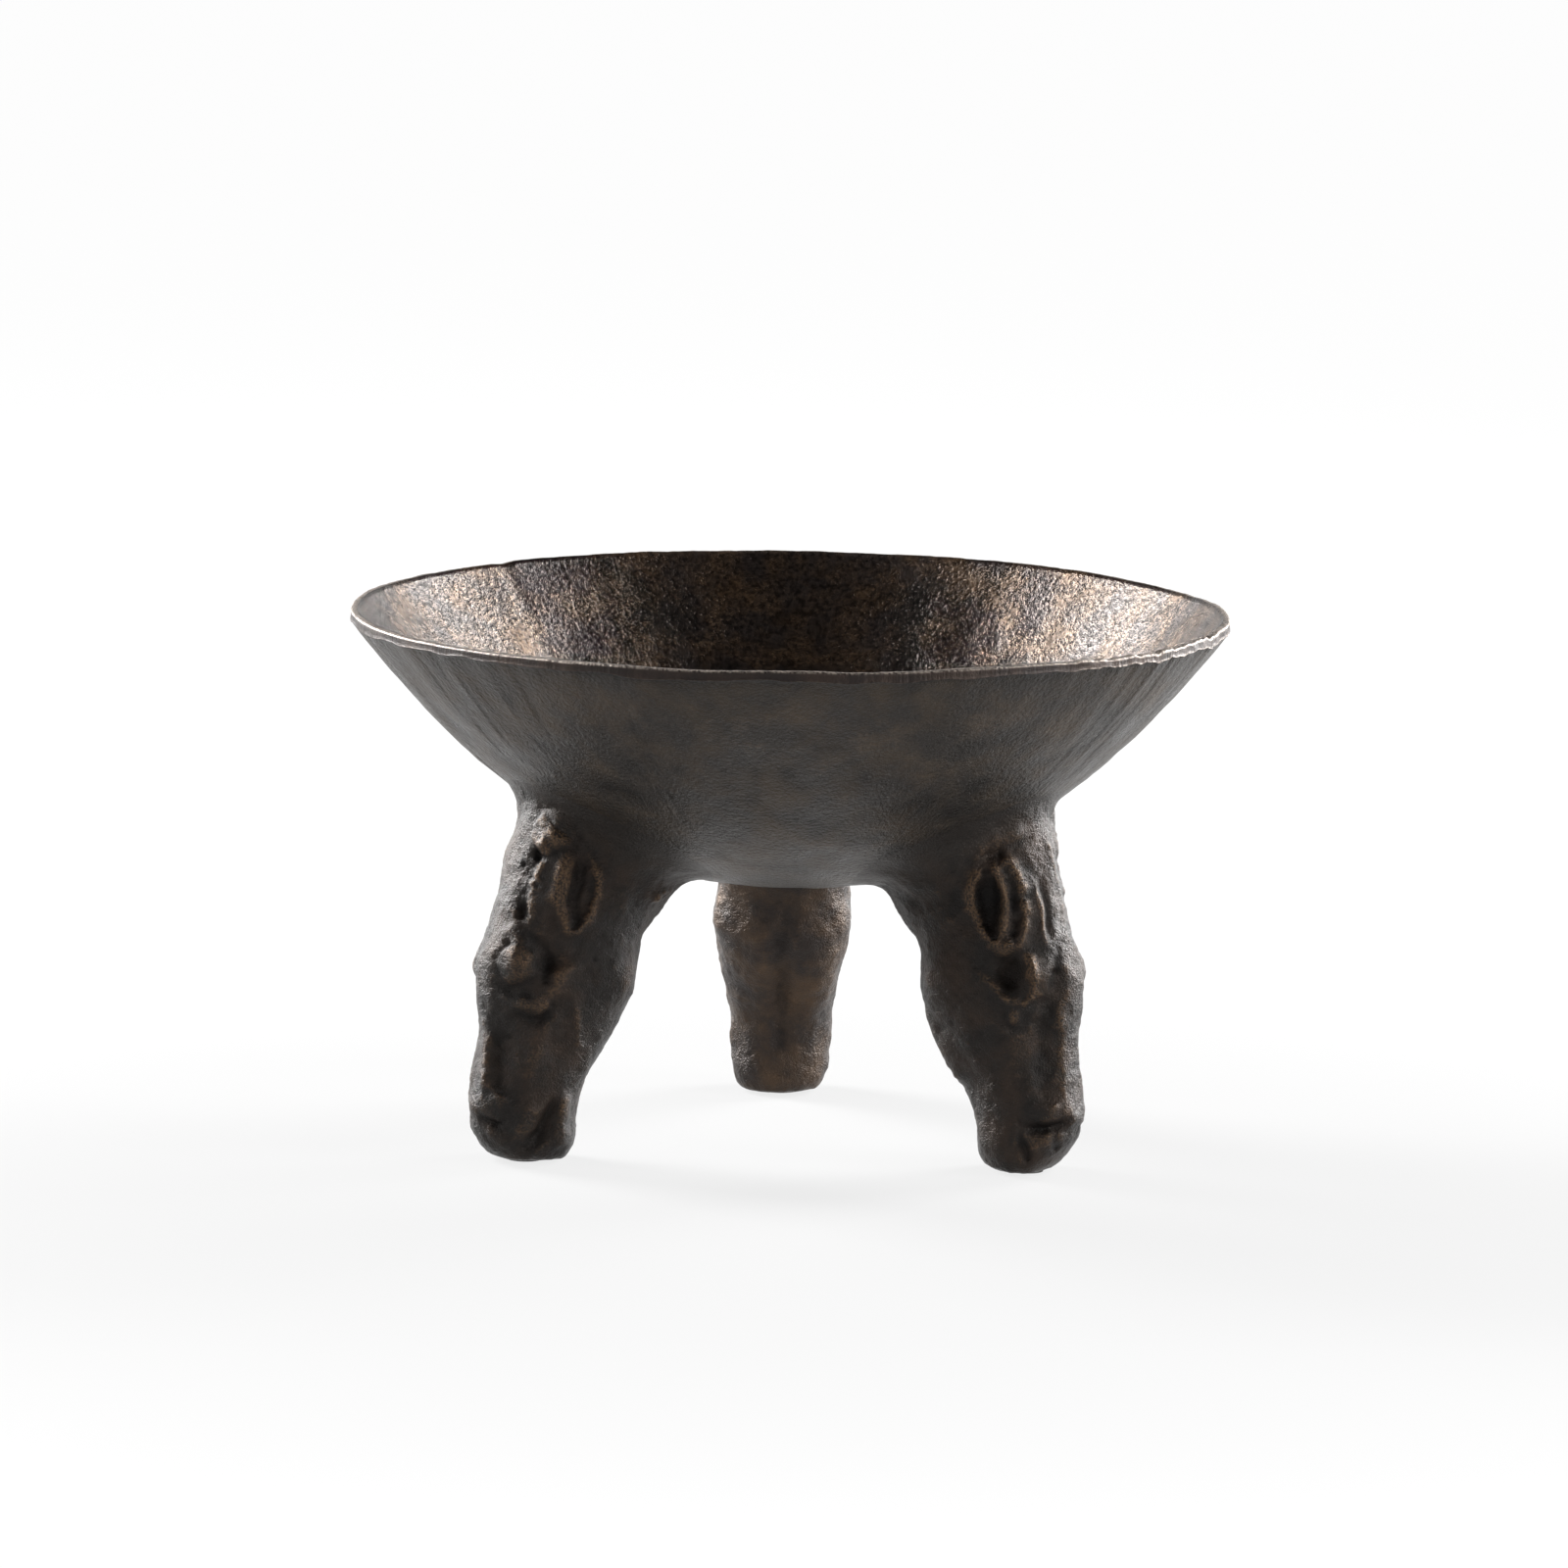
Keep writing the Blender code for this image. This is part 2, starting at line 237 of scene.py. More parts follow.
def bronze(name, dark, brown, worn, roughness, grain_mm, grain_depth, streaks=None, pebbles=0.0, wear=1.0,
           towards=None):
    """Cast bronze under a chemical patina: a dark skin with browner patches, rubbed back to warm metal on
    its raised edges and darkest in its hollows. The grain of the mould shows as fine bumps that glitter.
    grain_mm and grain_depth are its size and depth in mm. streaks are a width in mm, the share that
    drawn_out takes, and a strength beside the grain's. Where there are pebbles, their tops are golden by that
    amount, and painted shade darkens and dulls the hollows between them while painted light brightens their
    tops. wear is how far the edges are rubbed. Where the tone attribute is 1, the skin has the colour that
    towards gives."""
    material = bpy.data.materials.new(name)
    material.use_nodes = True
    tree = material.node_tree
    shader = tree.nodes["Principled BSDF"]
    shader.inputs["Metallic"].default_value = 0.65
    shader.inputs["Specular IOR Level"].default_value = 0.3
    place = add(tree, "TexCoord").outputs["Object"]

    patches = add(tree, "TexNoise", {"Vector": place, "Scale": 1 / PATCH, "Detail": 5.0, "Roughness": 0.62})
    patch = add(tree, "MapRange", {"Value": patches.outputs[0], "From Min": 0.42, "From Max": 0.68})
    cloud = add(tree, "TexNoise", {"Vector": place, "Scale": 1 / CLOUD, "Detail": 3.0})
    grain = add(tree, "TexNoise", {"Vector": place, "Scale": 1 / (grain_mm * MM), "Detail": 3.0,
                                   "Roughness": 0.6})
    fine = add(tree, "TexNoise", {"Vector": place, "Scale": 1 / FINE, "Detail": 1.0})

    # On the rim, raised holds each row's painted highlight and painted shade.
    raised = add(tree, "Attribute", attribute_name="raised")
    edge = add(tree, "MapRange", {"Value": raised.outputs["Fac"], "From Min": 0.15, "From Max": 0.9})
    rubbed = add(tree, "MapRange", {"Value": grain.outputs[0], "From Min": 0.4, "From Max": 0.6})
    edge_wear = add(tree, "Math", {0: edge.outputs[0], 1: rubbed.outputs[0]}, operation="MULTIPLY")
    edge_wear = add(tree, "Math", {0: edge_wear.outputs[0], 1: wear}, operation="MULTIPLY", use_clamp=True)
    hollow = add(tree, "MapRange", {"Value": raised.outputs["Fac"], "From Min": -0.1, "From Max": -0.9})

    skin = add(tree, "Mix", {0: patch.outputs[0], 6: linear(dark), 7: linear(brown)}, data_type="RGBA")
    if towards:
        share = add(tree, "Attribute", attribute_name="tone").outputs["Fac"]
        skin = add(tree, "Mix", {0: share, 6: skin.outputs[2], 7: linear(towards)}, data_type="RGBA")
    tone = add(tree, "MapRange", {"Value": cloud.outputs[0], "From Min": 0.3, "From Max": 0.7,
                                  "To Min": 0.85, "To Max": 1.12})
    skin = add(tree, "Mix", {0: 1.0, 6: skin.outputs[2], 7: tone.outputs[0]}, data_type="RGBA",
               blend_type="MULTIPLY")
    skin = add(tree, "Mix", {0: edge_wear.outputs[0], 6: skin.outputs[2], 7: linear(worn)},
               data_type="RGBA")
    if pebbles:
        golden = add(tree, "MapRange", {"Value": grain.outputs[0], "From Min": 0.56, "From Max": 0.7})
        golden = add(tree, "Math", {0: golden.outputs[0], 1: patch.outputs[0]}, operation="MULTIPLY")
        golden = add(tree, "Math", {0: golden.outputs[0], 1: pebbles}, operation="MULTIPLY")
        skin = add(tree, "Mix", {0: golden.outputs[0], 6: skin.outputs[2], 7: linear(worn)},
                   data_type="RGBA")
        # Painted shade and light on the pebbles: their hollows are darkened and made less glossy, and their
        # tops are lightened.
        pebble_painted_shade_and_light = add(tree, "MapRange", {"Value": grain.outputs[0], "From Min": 0.38, "From Max": 0.58,
                                       "To Min": 0.4, "To Max": 1.2})
        skin = add(tree, "Mix", {0: 1.0, 6: skin.outputs[2], 7: pebble_painted_shade_and_light.outputs[0]}, data_type="RGBA",
                   blend_type="MULTIPLY")
        gloss = add(tree, "Math", {0: pebble_painted_shade_and_light.outputs[0], 1: 0.4}, operation="MULTIPLY")
        tree.links.new(gloss.outputs[0], shader.inputs["Specular IOR Level"])
    # Darkest in the hollows: patina in the relief's recesses, and on the rim's band the painted shade that
    # its rows set.
    hollow_patina_and_band_shade = add(tree, "MapRange", {"Value": hollow.outputs[0], "To Min": 1.0, "To Max": 0.45})
    skin = add(tree, "Mix", {0: 1.0, 6: skin.outputs[2], 7: hollow_patina_and_band_shade.outputs[0]}, data_type="RGBA",
               blend_type="MULTIPLY")
    tree.links.new(skin.outputs[2], shader.inputs["Base Color"])

    dull = add(tree, "MapRange", {"Value": patches.outputs[0], "From Min": 0.3, "From Max": 0.7,
                                  "To Min": roughness - 0.07, "To Max": roughness + 0.08})
    tree.links.new(dull.outputs[0], shader.inputs["Roughness"])

    height = add(tree, "Math", {0: fine.outputs[0], 1: 0.3, 2: grain.outputs[0]}, operation="MULTIPLY_ADD")
    if streaks:
        width, share, strength = streaks
        lines = add(tree, "TexNoise", {"Vector": drawn_out(tree, place, share), "Scale": 1 / (width * MM),
                                       "Detail": 4.0, "Roughness": 0.6})
        height = add(tree, "Math", {0: lines.outputs[0], 1: strength, 2: height.outputs[0]},
                     operation="MULTIPLY_ADD")
    bump = add(tree, "Bump", {"Strength": 1.0, "Distance": grain_depth * MM, "Height": height.outputs[0]})
    tree.links.new(bump.outputs[0], shader.inputs["Normal"])
    return material


def rubber():
    """Sheet rubber, cut to a disc: black, matt, faintly dusty."""
    material = bpy.data.materials.new("cut_sheet_rubber")
    material.use_nodes = True
    tree = material.node_tree
    shader = tree.nodes["Principled BSDF"]
    place = add(tree, "TexCoord").outputs["Object"]
    dust = add(tree, "TexNoise", {"Vector": place, "Scale": 300.0, "Detail": 4.0})
    skin = add(tree, "Mix", {0: dust.outputs[0], 6: linear("#141414"), 7: linear("#2a2927")},
               data_type="RGBA")
    tree.links.new(skin.outputs[2], shader.inputs["Base Color"])
    shader.inputs["Roughness"].default_value = 0.85
    bump = add(tree, "Bump", {"Strength": 0.5, "Distance": 0.0001, "Height": dust.outputs[0]})
    tree.links.new(bump.outputs[0], shader.inputs["Normal"])
    return material


# ---------------------------------------------------------------- bowl

low, high = (np.array(corner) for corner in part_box("bowl"))
RIM_RADIUS, RIM_HEIGHT, UNDERSIDE = high[0], high[2], low[2]
RIM_BAND = 0.0047
BOWL_POWER = 2.2
WALL = 0.0042
# The directions, seen from the bowl's axis, of the rim's low side, of its chips and of its notch.
LOW_SIDE, CHIPPED, NOTCH = (math.radians(angle) for angle in (195, -27, 133))


def bowl_outside(radius):
    """The height and the slope of the bowl's outside: a power of the radius, from underside to band."""
    depth = RIM_HEIGHT - RIM_BAND - UNDERSIDE
    share = radius / RIM_RADIUS
    slope = BOWL_POWER * depth / RIM_RADIUS * share ** (BOWL_POWER - 1)
    return UNDERSIDE + depth * share**BOWL_POWER, slope


def bowl_lumps(points):
    """How far the cast wall stands out at each point of the bowl's outside or inside."""
    return noises(points, [(0.045, 0.0007), (0.018, 0.0005), (0.007, 0.00026)], 11)


def rim_drop(azimuth, circle):
    """How far the rim lies below its highest point at each place on its circle, in metres, and where it is
    chipped, from 0 to 1. It sinks smoothly towards the low side, waves a little, is chipped at the front
    right, and has one notch at the far left."""
    sink = 4.6 * ((1 + np.cos(azimuth - LOW_SIDE)) / 2) ** 2.2
    wave = 0.4 + noises(circle, [(0.04, 0.4), (0.012, 0.16)], 51)
    from_chips = np.abs((azimuth - CHIPPED + np.pi) % (2 * np.pi) - np.pi)
    chipped = np.clip((math.radians(27) - from_chips) / math.radians(7), 0, 1)
    chips = chipped * np.clip(0.5 + noises(circle, [(0.009, 0.9), (0.0035, 0.8)], 61), 0, 2)
    notch = 0.8 * np.exp(-(((azimuth - NOTCH) / math.radians(1.6)) ** 2))
    return (sink + wave + chips + notch) * MM, chipped


def make_bowl(materials):
    """A turned wall, displaced: the profile runs from the middle of the inside up to the rim, over its cut
    top, down the trimmed band and its burr, then down the outside. Noise moves every point along its
    normal."""
    columns = 1000
    azimuth = np.linspace(0, 2 * np.pi, columns, endpoint=False)
    # Rows crowd towards the rim, and one close to it keeps its edge crisp.
    run = np.append(np.linspace(0, 1, 42)[1:-1] ** 0.8, [0.993, 1])[:, None]
    circle = np.stack([np.cos(azimuth), np.sin(azimuth), 0 * azimuth], -1)
    rim_circle = circle * RIM_RADIUS

    def ring_points(radius, height):
        radius, height = np.broadcast_arrays(radius + 0 * azimuth, height + 0 * azimuth)
        return circle * radius[..., None] + np.array([0, 0, 1]) * height[..., None]

    outer_radius = RIM_RADIUS * run
    z, slope = bowl_outside(outer_radius)
    length = np.hypot(1, slope)
    inner_radius, inner_z = outer_radius - WALL * slope / length, z + WALL / length
    drop, chipped = rim_drop(azimuth, rim_circle)
    # The trimmed band is from 3 to 6 mm high, and its lower edge wanders.
    band = RIM_BAND + noises(rim_circle, [(0.03, 0.0011), (0.01, 0.0007)], 31)
    # The wall's height is eased so that it follows the rim.
    inside = ring_points(inner_radius, inner_z + run**6 * (RIM_HEIGHT - drop - inner_z[-1]))
    outside = ring_points(outer_radius, z + run**6 * (RIM_BAND - drop - band))[::-1]

    # The rim's rows: inwards from the outermost circle, share of the way down the band, mm lower, and their
    # painted light: above 0 a painted highlight on bare cut metal, below 0 painted shade. They are the top's
    # three, its rounded corner, the band's four, and the burr's two.
    top_width = RIM_RADIUS - inner_radius[-1, 0]
    rim_rows = [
        (top_width - 0.0002, 0, 0.2, 0.4), (0.0022, 0, 0.0, 0.9), (0.0009, 0, 0.25, 1.2),
        (0.0004, 0, 0.6, 0.9),
        (0.0003, 0.2, 0.4, -0.2), (0.0003, 0.4, 0, -0.4), (0.0003, 0.6, 0, -0.4), (0.0003, 0.8, 0, -0.3),
        (0.0001, 0.93, 0, 0.1), (0.0, 0.99, 0, 0.5),
    ]
    inwards, share, lower, rim_painted_light = np.array(rim_rows).T[:, :, None]
    rim = ring_points(RIM_RADIUS - inwards, RIM_HEIGHT - drop - share * band - lower * MM)

    grid = np.concatenate([inside, rim, outside])
    side = np.repeat([0, 1, 2], [len(inside), len(rim), len(outside)])[:, None]
    normal = grid_normals(grid)
    normal *= np.sign(normal[5, :, 2].mean())
    flat = grid.reshape(-1, 3)
    lumps = bowl_lumps(flat).reshape(grid.shape[:2])
    # Gouges run down the outside: noise round the bowl, drawn out along the slope, deepest at the left.
    radius = np.hypot(grid[..., 0], grid[..., 1])
    drawn = (rim_circle + np.array([0, 0, 0.13]) * radius[..., None]).reshape(-1, 3)
    gouges = np.clip(noises(drawn, [(0.006, 0.7), (0.0035, 0.5)], 21) - 0.25, 0, 1).reshape(grid.shape[:2])
    scored = 0.15 + 0.85 * np.clip((1 + np.cos(azimuth - LOW_SIDE)) / 2, 0, 1) ** 6
    # Cut marks run up and down the band, and its top is torn where it is chipped.
    torn = noises(flat, [(0.003, 0.0004)], 42).reshape(grid.shape[:2])
    cuts = noises(rim_circle, [(0.003, 0.00014)], 41) + chipped * torn
    # The lumps fade towards the rim, so that its edges stay straight.
    lumps *= 1 - 0.7 * np.concatenate([run**12, np.ones((len(rim), 1)), run[::-1] ** 12])
    moved = np.choose(side, [lumps, cuts + lumps, lumps - 0.0009 * scored * gouges])
    # The outside starts just behind the burr.
    moved[len(inside) + len(rim) :] -= 0.0004 * run[::-1] ** 30
    grid = grid + normal * moved[..., None]
    # Nothing stands past the CAD model's own rim.
    grid[..., 2] = np.minimum(grid[..., 2], RIM_HEIGHT)
    grid[..., :2] *= np.minimum(1, RIM_RADIUS / np.hypot(grid[..., 0], grid[..., 1]))[..., None]

    raised = (moved - blurred(moved, 6)) / 0.0003
    # The rim takes its rows' painted highlight and painted shade, and is lighter still where it is chipped,
    # as bare metal.
    raised[len(inside) : len(inside) + len(rim)] = rim_painted_light + 0.5 * chipped
    row_materials = side[:, 0].copy()
    row_materials[len(inside) - 1] = 1
    # The columns are turned round so that the faces point out.
    piece_from_grid("bowl_cast", grid[:, ::-1], "bowl", materials, raised[:, ::-1], row_materials)


# ---------------------------------------------------------------- legs

# The head's sections from the lips up to the neck, in mm and degrees: centre (outward from the foot, up),
# lean, then the reach to the face, to the jaw and to either cheek.
HEAD_SECTIONS = np.array([
    (-1, 1, 0, 12, 14, 12),
    (-1, 3, 0, 18, 19, 18),
    (0, 10, 0, 23, 23, 21),
    (1, 24, 0, 25, 25, 23),
    (-2, 38, 0, 26, 26, 24),
    (-7, 51, 0, 29, 29, 26),
    (-12, 65, 0, 33, 33, 29),
    (-15, 79, 0, 37, 37, 31),
    (-16, 93, 0, 38, 38, 31),
    (-20, 107, 6, 37, 37, 31),
    (-26, 121, 13, 38, 40, 31),
    (-34, 138, 21, 42, 42, 34),
    (-45, 155, 30, 51, 48, 38),
    (-54, 171, 30, 56, 52, 40),
], float)
NOSE_TAPER = 0.14

# Strokes of clay: (form, [(outward, side, up, reach, height) in mm, ...]). Side is away from the head's
# middle.
THROAT = [
    ("soft", [(-24, 0, 25, 6, -1.5), (-30, 0, 40, 7, -3), (-40, 0, 56, 8, -4), (-50, 0, 76, 9, -3.5),
              (-54, 0, 95, 9, -2)]),  # the hollow between the jaw bones
]
BOTH_SIDES = [
    ("soft", [(-36, 27, 88, 15, 3)]),  # the round of the jaw
]
# The side of the head that the front left leg turns to the front.
NEAR_SIDE = [
    # eyeball under its brow, the dark corner behind it, and the bag below
    ("soft", [(18, 8, 104, 11, 1.8), (13, 15, 104, 9, 2)]),
    ("soft", [(14, 16, 94, 10, 2)]),
    ("dome", [(14, 16, 93.5, 9.5, 3)]),
    ("soft", [(20, 9, 84, 3.5, -0.8), (16, 14, 81, 3.5, -1.4), (11, 19, 80.5, 3.5, -1.4),
              (5, 23, 83, 3.5, -1)]),
    ("soft", [(10, 17, 109, 5, -1), (5, 22.5, 102, 5.5, -2.8), (3, 24.5, 95, 5.5, -3.6),
              (3, 25.5, 88, 5, -2)]),
    ("soft", [(0, 26, 97, 7, -1), (-8, 29, 100, 9, -1.2), (-20, 31, 101, 9, -0.6)]),
    ("soft", [(7, 23, 81, 5, 1), (0, 27, 85, 6.5, 2), (-7, 29, 92, 7, 1.6), (-13, 30, 96, 7, 0.8)]),
    ("soft", [(16, 14, 77, 6, 1.4), (11, 20, 75.5, 6.5, 2.2), (5, 24, 76, 6, 1.8)]),
    ("soft", [(15, 15, 69.5, 3.5, -0.8), (9, 21, 68, 4, -2), (4, 24.5, 69, 4, -2.4),
              (1, 26.5, 75, 3.5, -1.4)]),
    ("soft", [(16, 12, 103, 2.6, -1.2)]),
    # nose and cheek
    ("soft", [(20, 6, 66, 6, -1.2), (18, 11, 57, 7.5, -2.6), (18, 12, 47, 7.5, -2.4), (19, 12, 38, 6, -1)]),
    ("soft", [(22, 1, 64, 5, 0.8), (22.5, 4, 54, 5, 1.6), (22.5, 6, 43, 5, 1.6), (22, 8, 37, 5, 1)]),
    ("soft", [(4, 25, 64, 8, 1.2), (7, 22, 52, 8, 1.5), (9, 20, 40, 7, 1)]),
    ("ridge", [(-10, 30, 76, 5, 0.6), (-12, 29, 66, 5, 1.2), (-13, 27, 55, 5, 0.6)]),
    ("soft", [(-3, 27, 55, 10, -1.4)]),
    # muzzle
    ("soft", [(24.5, 6, 21, 2.6, -1), (22, 10, 18.5, 2.8, -2.4), (19.5, 13, 18, 2.6, -1.8),
              (17, 15, 20, 2.4, -0.8)]),
    ("soft", [(23, 7, 29, 7, 1.2), (19, 13, 27, 7, 1.4)]),
    ("ridge", [(23, 8, 37, 4.5, 0.6), (20, 12, 33, 4.5, 1), (15, 18, 29, 4.5, 0.8)]),
    ("soft", [(22, 9, 13, 5, 1.2), (17, 14, 11, 6, 1.4)]),
    ("soft", [(-6, 23, 31, 4, -1), (-3, 24, 27, 4.5, -3.2), (0, 23, 20, 4.8, -4.4), (3, 21, 14, 4.5, -4),
              (7, 18, 8, 4, -2)]),
    ("soft", [(8, 20, 27, 7, 1.8), (11, 18, 16, 6, 1.6)]),
    ("soft", [(-9, 23, 30, 5.5, 2.2), (-9, 21, 22, 6, 1.8), (-8, 19, 12, 7, 1.6)]),
    # ear
    ("slab", [(-12, 26, 148, 3.5, 1), (-12, 26, 139, 8, 2.2), (-10.5, 26, 128, 10.5, 2.6),
              (-10.5, 26.5, 120, 9, 2.4), (-9.5, 27.5, 113, 6, 1.6)]),
    ("dome", [(-13.5, 27, 143, 3, -1), (-13, 27, 136, 5.6, -3.6), (-12.5, 27.5, 127, 6.6, -4.4),
              (-11.5, 27.5, 119, 5, -3.6), (-8.5, 28, 112, 2.4, -1.4)]),
    ("soft", [(-15, 28, 137, 2.6, 1.2), (-14, 28, 128, 2.6, 1.4), (-12.5, 28, 120, 2.2, 0.8)]),
    ("ridge", [(-8, 24, 148, 4.5, 1.4), (-5, 22.5, 139, 5, 2), (-3.5, 21.5, 131, 5, 2),
               (-3, 23, 121, 4.5, 1.4),
               (-5.5, 26, 113, 4, 1)]),
    # forelock
    ("dome", [(-5, 18, 155, 10, 4.2), (0, 15.5, 151, 7.5, 2.6)]),
    ("slab", [(-3, 18, 150, 6.5, 1.6), (-1, 18.5, 138, 6.5, 2.2), (1.5, 18, 127, 6.5, 2.4),
              (3, 19, 120, 6.3, 2),
              (6, 19, 112, 5, 1)]),
    ("crumbly", [(0, 15, 155, 8, 1.6), (3, 14.5, 141, 6, 2), (6, 14, 128, 6, 2), (9, 14, 118, 6, 1.6)]),
    ("soft", [(3, 13, 144, 2.6, -2.4), (2.5, 13.5, 140, 2, -1.6)]),
    ("soft", [(7, 8, 138, 1.8, -1.4)]),
    ("soft", [(9, 14, 121, 2.8, -2.2), (10, 14, 116, 2.6, -2.2)]),
    ("soft", [(-19, 31, 96, 1.4, -1.4)]),
    ("crumbly", [(-44, 31, 122, 7, 1.2), (-52, 29, 124, 7, 1.6), (-62, 24, 126, 7, 1.4)]),
    ("ridge", [(-46, 30, 123, 5, 1), (-52, 29, 124, 5, 1.4), (-60, 26, 125, 5, 1)]),
]
# What only one of the heads has, on its FAR_SIDE: scraped edges on the forehead, and a low, swollen eye.
SCRAPES = [
    ("ridge", [(5, 0, 155, 4, 0.8), (8, -1, 138, 4, 1.2), (11, -2, 127, 4, 1.4), (14, -2, 120, 4, 1),
               (17, 1, 110, 4, 0.5)]),
    ("ridge", [(5, 11.5, 137, 3.6, 0.8), (8, 11.5, 128, 3.6, 1.5), (10, 12.5, 119, 3.6, 1.5),
               (13, 13.5, 109, 3.6, 0.8)]),
    ("soft", [(7, 8.5, 137, 3, -0.6), (10, 8.5, 128, 3, -1.2), (12, 9.5, 119, 3, -1.2),
              (15, 10.5, 109, 3, -0.5)]),
]
LOW_EYE = [("soft", [(15, 17, 87, 9, 2.4)]), ("soft", [(5, 10, 158, 13, -2.6)])]
# For each head: its own strokes, how strongly its near and its far side are modelled, and how far its front
# lip is lifted, in metres. The sides that face the front are the full ones.
HEADS = {
    "back": ([], 0.8, 0.8, 0.003),
    "front_left": (LOW_EYE, 1.0, 0.6, 0.003),
    "front_right": (SCRAPES, 0.55, 1.0, 0.013),
}
# The side of the head that the front right leg turns to the front.
FAR_SIDE = [
    # ear
    ("slab", [(-13, 26, 146, 5, 1), (-9.5, 24, 140, 9.5, 2.4), (-8.5, 24, 129.5, 11, 2.8),
              (-7, 25, 121, 9.5, 2.6),
              (-5.5, 26, 113.5, 7, 2), (-3, 27, 107, 4, 1.2)]),
    ("dome", [(-12, 26, 140, 3, -2), (-11, 25.5, 134, 5.6, -5.2), (-10.5, 25.5, 127, 6.6, -6.2),
              (-9, 26.5, 119, 4.6, -4.8), (-7, 27, 112, 2.2, -1.6)]),
    ("ridge", [(-9, 25, 143, 3.4, 1), (-4.5, 22.5, 133, 3.4, 1.3), (-3, 22.5, 124, 3.4, 1.3),
               (-4, 25.5, 115, 3, 1)]),
    ("soft", [(-4, 21, 142, 3, -1), (-1, 19.5, 131, 3.4, -2.4), (0, 21, 123, 3.4, -2.4),
              (0, 23, 114, 3, -1.4)]),
    ("soft", [(-4, 19, 148, 5.5, 1.6), (1, 17.5, 138, 5.5, 2.4), (4, 17.5, 128, 5.5, 2.4),
              (5, 18.5, 119, 5, 2.2),
              (4, 21, 111, 4.5, 1.6), (0, 25, 105, 4, 1.2)]),
    ("soft", [(-16, 28, 151, 6, 1.6), (-9, 23, 156, 7, 2), (-3, 17, 159, 6, 1.6)]),
    ("soft", [(-12, 26, 149.5, 3, -1.8), (-7, 23, 149.5, 3, -1.6)]),
    ("crumbly", [(-12, 25, 152, 9, 1.6), (0, 19, 139, 7, 1.2), (4, 18, 126, 7, 1.2), (1, 24, 110, 7, 1.2)]),
    ("soft", [(-60, 27, 127, 6, -0.6), (-44, 31, 124, 7, -1), (-27, 31, 128, 7, -0.6)]),
    ("soft", [(-60, 28, 135, 8, 0.8), (-40, 32, 133, 9, 1), (-22, 30, 140, 8, 0.6)]),
    # eye socket, open and dark, under a brow
    ("slab", [(-5, 27, 98, 7, -1.4), (0.5, 26, 95.5, 8, -3.2)]),
    ("soft", [(0, 26, 96, 9, -2)]),
    ("ridge", [(6, 22, 107, 6, 1.6), (9, 21, 102, 6.5, 4), (10.5, 20.5, 96, 6.5, 5), (11.5, 20, 90, 6, 3.6),
               (10, 21, 85, 5, 1.2)]),
    ("soft", [(14, 15, 101, 6, 1), (14.5, 15.5, 94, 6, 1.4), (15, 15, 88, 5, 0.8)]),
    ("soft", [(17, 10, 101, 4, -1), (18, 11, 93, 4, -1.6), (18.5, 11.5, 85, 4, -1)]),
    ("ridge", [(-8, 28, 107, 5, 0.8), (-1, 25, 109, 5, 1.6), (6, 20, 110, 5, 1)]),
    ("ridge", [(-8, 29, 91, 5, 1), (-2, 27.5, 86, 5, 2), (3.5, 25, 82, 5, 2.4), (9, 22, 82, 4.5, 2),
               (13, 18, 86, 4, 1)]),
    ("soft", [(4.5, 24.5, 75.5, 4.5, 1.4)]),
    ("soft", [(0, 27, 77, 3, -0.8), (2, 26, 70, 3, -1.2), (7, 23, 69, 3, -1.2), (9.5, 21, 75, 3, -0.8)]),
    # nose
    ("slab", [(13, 3, 112, 8, 0.5), (17, 4, 98, 11, 1), (20, 2, 84, 11.5, 1.4), (21, 0, 69, 11, 1.7),
              (22, -1, 57, 9.5, 1.7), (23, 0, 41, 10, 1.5), (24, 1, 30, 9, 1)]),
    ("ridge", [(18.5, 12, 86, 4, 0.5), (20, 9.5, 69, 4, 0.8), (21, 7.5, 57, 4, 0.8), (22.5, 8, 41, 4, 0.8),
               (24, 9, 30, 4, 0.6)]),
    ("soft", [(17, 15, 80, 5.5, -1.4), (15, 16, 66, 7, -2.4), (15, 16, 50, 7, -2), (17, 15, 38, 5, -1)]),
    ("soft", [(18, 11, 96, 1.6, -1.3)]),
    ("soft", [(-8, 28, 62, 12, -1.4)]),
    ("soft", [(-40, 17, 78, 12, 1.6), (-36, 17, 64, 12, 4), (-29, 16, 50, 12, 4), (-24, 15, 38, 9, 2)]),
    # muzzle
    ("soft", [(8, 21, 26, 3.5, -1.4), (12.5, 19, 24, 4, -3), (18, 15.5, 22.5, 4.2, -3.6),
              (22, 11, 23.5, 4, -3),
              (25, 7.5, 26, 3.4, -1.6)]),
    ("soft", [(18, 14, 33, 8, 1.8)]),
    ("soft", [(21, 12, 14, 6.5, 2), (16, 16, 14, 6, 1.4)]),
    ("soft", [(7.5, 21.5, 22, 3, -1), (9, 20, 16, 3.2, -2), (11, 18, 9, 3, -2)]),
    ("soft", [(20.5, 13, 19, 2.6, -0.8), (20.5, 11.5, 13, 2.8, -1.6), (20, 9, 8, 2.6, -1.4)]),
    ("soft", [(-2, 21, 14, 8, 1.2)]),
]


